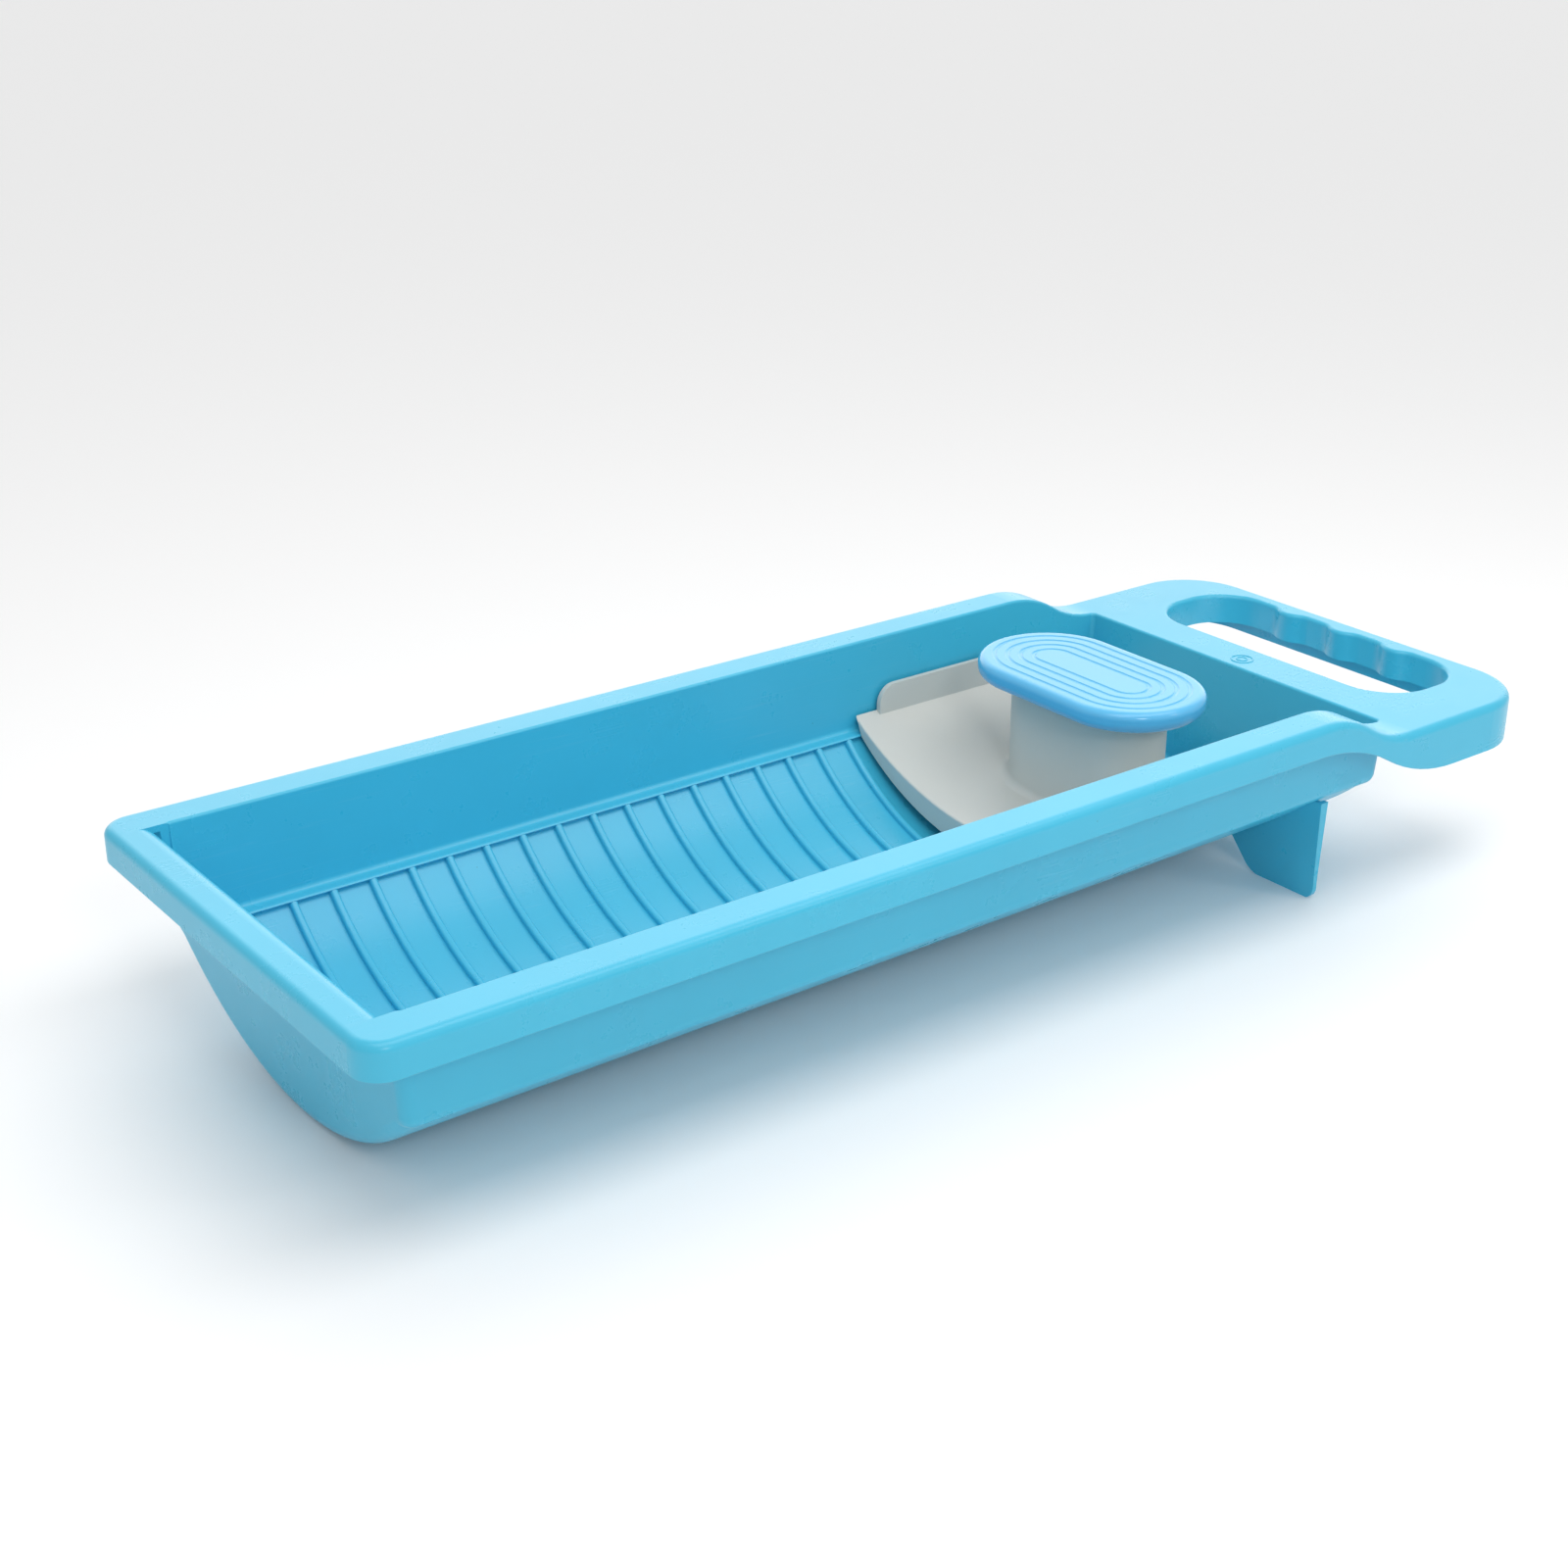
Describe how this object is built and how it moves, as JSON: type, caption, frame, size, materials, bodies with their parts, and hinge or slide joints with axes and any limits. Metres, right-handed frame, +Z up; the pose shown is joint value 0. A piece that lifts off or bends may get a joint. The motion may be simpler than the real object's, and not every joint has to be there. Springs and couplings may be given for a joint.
{
  "type": "washboard",
  "caption": "Ribbed laundry trough in light blue plastic with a finger-grip handle, feet under the handle end, and a loose grey scrub block with an oval cap.",
  "frame": {"origin": "middle of the footprint, on the surface that the board stands on", "axes": "+X from the free end to the handle, +Y across the board, +Z up"},
  "size_m": [0.4954, 0.18, 0.0772],
  "materials": {
    "tray_plastic": "light sky-blue moulded polypropylene, smooth with a soft gloss",
    "block_plastic": "warm light grey moulded polypropylene, satin",
    "cap_plastic": "light blue moulded polypropylene, glossy, with shallow oval grooves"
  },
  "bodies": {
    "tray": {"tray": "tray_plastic"},
    "scrub_block": {"scrub_base": "block_plastic", "scrub_cap": "cap_plastic"}
  },
  "joints": [
    {"name": "block_stroke", "type": "slide", "parent": "tray", "child": "scrub_block", "axis": [0.9997, 0, 0.0245], "range_m": [-0.268, 0.017]}
  ]
}
